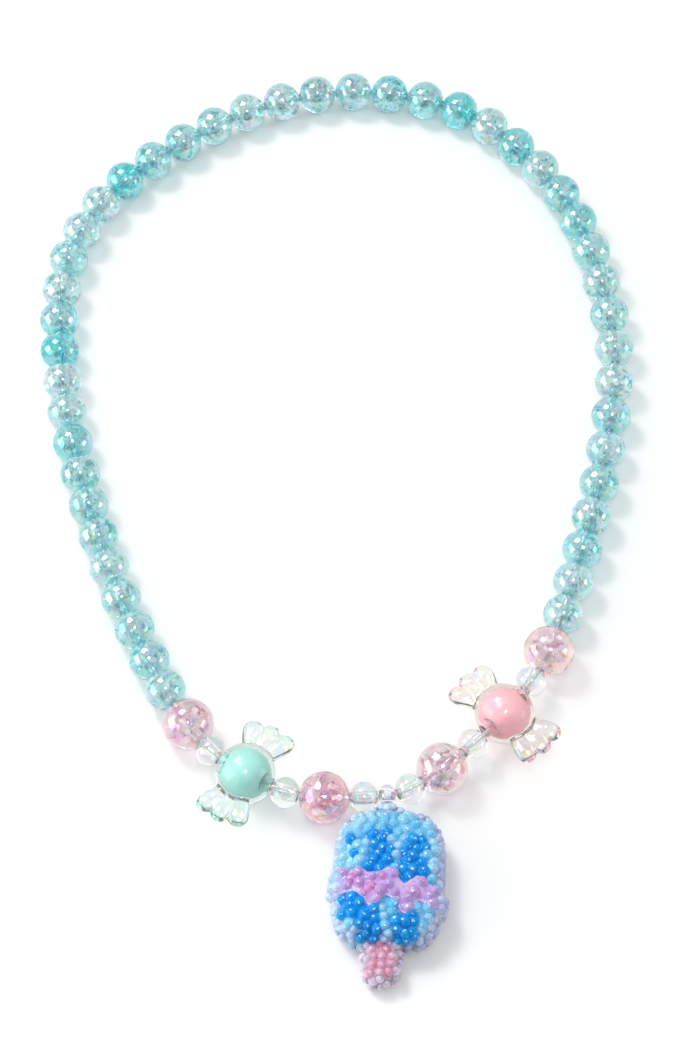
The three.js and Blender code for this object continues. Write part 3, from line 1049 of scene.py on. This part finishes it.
def stepped(tree, value, colors):
    # a colour ramp of equal flat steps
    hues = addNode(tree, "ShaderNodeValToRGB", None, {0: value})
    ramp = hues.color_ramp
    ramp.interpolation = "CONSTANT"
    ramp.elements[0].color = hexColor(colors[0])
    ramp.elements[1].position = 1 / len(colors)
    ramp.elements[1].color = hexColor(colors[1])
    for i, color in enumerate(colors[2:], 2):
        ramp.elements.new(i / len(colors)).color = hexColor(color)
    return hues.outputs[0]


def acrylicSkin(name, pale, deep, glintColors, film, flashFilm, metal, transmission, cell, bump, shadow):
    # injection-moulded acrylic, crackled by a cold bath and vapour-coated: glassy, its tint uneven from
    # crack to crack, with soft facets and a thin rainbow coat
    material, tree = newMaterial(name)
    cells = pattern(tree, "ShaderNodeTexVoronoi", cell)
    pick = addNode(tree, "ShaderNodeSeparateColor", None, {0: cells.outputs["Color"]})
    shade = addNode(tree, "ShaderNodeAttribute", {"attribute_name": "shade"})
    share = addNode(tree, "ShaderNodeMath", {"operation": "MULTIPLY_ADD", 1: 0.3},
                    {0: pick.outputs[0], 2: shade.outputs["Fac"]})
    # a few cells turn white or pastel: painted glints standing in for the rainbow coat's coloured reflections
    flash = addNode(tree, "ShaderNodeMapRange", {"From Min": 0.86, "From Max": 0.96, "To Max": 0.6},
                    {"Value": pick.outputs[1]})
    body = addNode(tree, "ShaderNodeMix", {"data_type": "RGBA"}, {
        0: flash.outputs[0], 6: mixColors(tree, share.outputs[0], pale, deep),
        7: stepped(tree, pick.outputs[2], glintColors),
    })
    edges = pattern(tree, "ShaderNodeTexVoronoi", cell, {"feature": "SMOOTH_F1", "Smoothness": 0.3})
    relief = addNode(tree, "ShaderNodeBump", {"Strength": bump, "Distance": 0.25 * mm},
                     {"Height": edges.outputs["Distance"]})
    drift = addNode(tree, "ShaderNodeMapRange", {"To Min": film[0], "To Max": film[1]},
                    {"Value": pick.outputs[0]})
    rare = addNode(tree, "ShaderNodeMapRange", {"From Min": 0.7, "From Max": 0.9}, {"Value": pick.outputs[2]})
    thick = addNode(tree, "ShaderNodeMix", {"data_type": "FLOAT", 3: flashFilm},
                    {0: rare.outputs[0], 2: drift.outputs[0]})
    shader = addNode(tree, "ShaderNodeBsdfPrincipled", {
        "Metallic": metal, "Roughness": 0.05, "IOR": 1.49, "Transmission Weight": transmission,
        "Thin Film IOR": 2.1,
    }, {"Base Color": body.outputs[2], "Normal": relief.outputs[0], "Thin Film Thickness": thick.outputs[0]})
    passLamps(tree, shader, shadow)
    return material


def clearSkin(name, tint, film, filmIor, shadow, coated=None):
    # injection-moulded clear acrylic, polished in a tumbler and vapour-coated: glassy, with a faint rainbow
    material, tree = newMaterial(name)
    drift = pattern(tree, "ShaderNodeTexNoise", 4 * mm, {"Detail": 1.0})
    thick = addNode(tree, "ShaderNodeMapRange", {
        "From Min": 0.3, "From Max": 0.7, "To Min": film[0], "To Max": film[1],
    }, {"Value": drift.outputs[0]})
    if coated:  # an attribute that is 1 where the rainbow coat was sprayed on
        spray = addNode(tree, "ShaderNodeAttribute", {"attribute_name": coated})
        thick = addNode(tree, "ShaderNodeMath", {"operation": "MULTIPLY"},
                        {0: thick.outputs[0], 1: spray.outputs["Fac"]})
    shader = addNode(tree, "ShaderNodeBsdfPrincipled", {
        "Base Color": hexColor(tint), "Roughness": 0.02, "IOR": 1.49, "Transmission Weight": 1.0,
        "Thin Film IOR": filmIor,
    }, {"Thin Film Thickness": thick.outputs[0]})
    passLamps(tree, shader, shadow)
    return material


def flakeFinish(name, colors):
    # cracks seen inside acrylic: thin scales in random colours, the white ones painted glints and the dark
    # or lilac ones painted shade
    material, tree = newMaterial(name)
    cells = pattern(tree, "ShaderNodeTexVoronoi", 0.9 * mm)
    pick = addNode(tree, "ShaderNodeSeparateColor", None, {0: cells.outputs["Color"]})
    shader = addNode(tree, "ShaderNodeBsdfPrincipled", {"Metallic": 0.15, "Roughness": 0.2, "Alpha": 0.9},
                     {"Base Color": stepped(tree, pick.outputs[0], colors)})
    passLamps(tree, shader, "#d8dede")
    return material


def coreFinish(name, color, other):
    # opaque moulded plastic: clouded by a hair between two tints, with a faint orange peel and a soft gloss
    material, tree = newMaterial(name)
    cloud = pattern(tree, "ShaderNodeTexNoise", 2.5 * mm, {"Detail": 2.0})
    peel = pattern(tree, "ShaderNodeTexNoise", 0.7 * mm)
    relief = addNode(tree, "ShaderNodeBump", {"Strength": 0.08, "Distance": 0.05 * mm},
                     {"Height": peel.outputs[0]})
    surface(tree, addNode(tree, "ShaderNodeBsdfPrincipled", {
        "Roughness": 0.25, "Subsurface Weight": 0.2, "Subsurface Scale": 1.5 * mm,
    }, {"Base Color": mixColors(tree, cloud.outputs[0], color, other), "Normal": relief.outputs[0]}))
    return material


def resinFinish(name):
    # small clear glass beads set in poured clear resin: all one wet-looking gloss with a white glint on
    # each bead
    material, tree = newMaterial(name)
    shader = addNode(tree, "ShaderNodeBsdfPrincipled", {
        "Base Color": hexColor("#fbfdff"), "Roughness": 0.02, "IOR": 1.75, "Transmission Weight": 1.0,
        "Specular Tint": hexColor("#78bcff"),
    })
    passLamps(tree, shader, "#dde2ee")
    return material


def heartFinish(name):
    # the painted lining of the small glass beads: matt colour with their painted glints, shade and light,
    # seen only through the clear resin
    material, tree = newMaterial(name)
    tint = addNode(tree, "ShaderNodeAttribute", {"attribute_name": "tint"})
    surface(tree, addNode(tree, "ShaderNodeBsdfPrincipled", {
        "Roughness": 0.5, "Specular IOR Level": 0.05, "Subsurface Weight": 0.2,
        "Subsurface Scale": 0.4 * mm, "Subsurface Radius": (1, 1, 1),
    }, {"Base Color": tint.outputs["Color"]}))
    return material


def elasticFinish(name):
    # extruded polyurethane cord: clear, with a soft sheen that turns matt here and there where it was
    # stretched
    material, tree = newMaterial(name)
    streak = pattern(tree, "ShaderNodeTexNoise", 1.2 * mm, {"Detail": 3.0})
    matt = addNode(tree, "ShaderNodeMapRange", {"To Min": 0.15, "To Max": 0.35}, {"Value": streak.outputs[0]})
    surface(tree, addNode(tree, "ShaderNodeBsdfPrincipled", {
        "Base Color": hexColor("#f2f6f7"), "IOR": 1.5, "Transmission Weight": 0.6,
    }, {"Roughness": matt.outputs[0]}))
    return material


def makeFinishes():
    # a film is the rainbow coat's thickness in nanometres, from thinnest to thickest
    # white and pastel painted glints for the crackled acrylic's skin
    paintedGlints = ["#c9b8f0", "#b8fff0", "#fff3c0", "#a8e4ff", "#ffc8d8", "#ffffff"]
    # the scales' colours: white for painted glints, dark or lilac for painted shade, the rest pale tints
    aquaScaleLightShade = ["#ffffff", "#ecfffc", "#3fb4ba", "#ffffff", "#ccdefa", "#dcfffb", "#5cb0b8", "#ffffff",
                  "#ffffea", "#ffffff"]
    pinkScaleLightShade = ["#ffffff", "#fff8fc", "#bc7090", "#ffffff", "#f2e6fc", "#ffffff", "#ffd0d2", "#ffffff",
                  "#fff6fa", "#ffffff", "#e2b4d0", "#ffffff"]
    finishes = {
        "aqua": acrylicSkin("aquaCrackleAcrylic", pale="#f0feff", deep="#86edf5", glintColors=paintedGlints,
                            film=(300, 370), flashFilm=410, metal=0.18, transmission=0.93, cell=1.3 * mm,
                            bump=0.2, shadow="#a4b4b6"),
        "pink": acrylicSkin("pinkCrackleAcrylic", pale="#fffcfd", deep="#fcd6e4", glintColors=paintedGlints,
                            film=(228, 262), flashFilm=400, metal=0.12, transmission=0.93, cell=1.5 * mm,
                            bump=0.3, shadow="#d0c6ca"),
        "clear": clearSkin("clearPearlAcrylic", "#f6faf9", film=(250, 480), filmIor=2.1, shadow="#ccd0d2"),
        "turquoiseGlaze": clearSkin("coolClearCandyShell", "#ecf6f1", film=(240, 440), filmIor=2.15,
                                    shadow="#e0e4e4", coated="pearl"),
        "pinkGlaze": clearSkin("warmClearCandyShell", "#f8f1ed", film=(240, 440), filmIor=2.15,
                               shadow="#e4e0de", coated="pearl"),
        "aquaFlake": flakeFinish("aquaCrackleScales", aquaScaleLightShade),
        "pinkFlake": flakeFinish("pinkCrackleScales", pinkScaleLightShade),
        "turquoiseCore": coreFinish("turquoiseCandyPlastic", "#b2e8e0", "#a6e0d8"),
        "pinkCore": coreFinish("pinkCandyPlastic", "#ffc6d2", "#ffbac8"),
        "lollyResin": resinFinish("seededClearResin"),
        "lollyHeart": heartFinish("linedSeedColorAndPaintedLight"),
        "elastic": elasticFinish("stretchCord"),
    }
    print("finishes:", len(finishes), "materials")
    return finishes


makeStage()
finishes = makeFinishes()
places, ways = findPlaces()
roundBeads(places, ways, finishes)
candyBeads(places, ways, finishes)
elasticCord(places, finishes)
lollyPendant(places, finishes)
